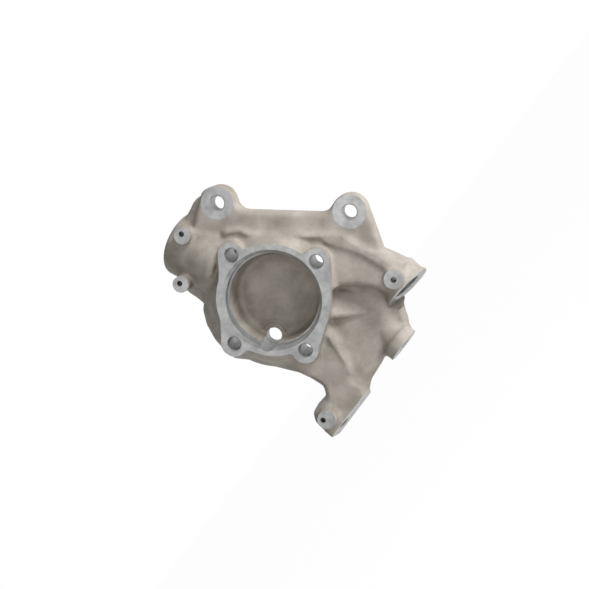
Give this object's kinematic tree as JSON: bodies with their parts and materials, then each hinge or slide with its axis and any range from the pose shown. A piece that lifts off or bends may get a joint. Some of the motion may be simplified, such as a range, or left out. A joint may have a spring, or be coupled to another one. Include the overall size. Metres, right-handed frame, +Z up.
{
  "type": "steering knuckle",
  "caption": "Cast steering knuckle with a bearing seat, a closed bowl, caliper ears, a strut clamp and arms for the links and the tie rod.",
  "frame": {"origin": "centre of the bearing seat on the machined hub face", "axes": "-Y outboard along the wheel's axis, +Z up, +X along the car to the side of the caliper"},
  "size_m": [0.2104, 0.0907, 0.2555],
  "materials": {
    "cast_aluminium": "blasted casting, warm light grey, with bright machined seats, bores and boss ends"
  },
  "bodies": {
    "root": {"knuckle": "cast_aluminium"}
  },
  "joints": []
}
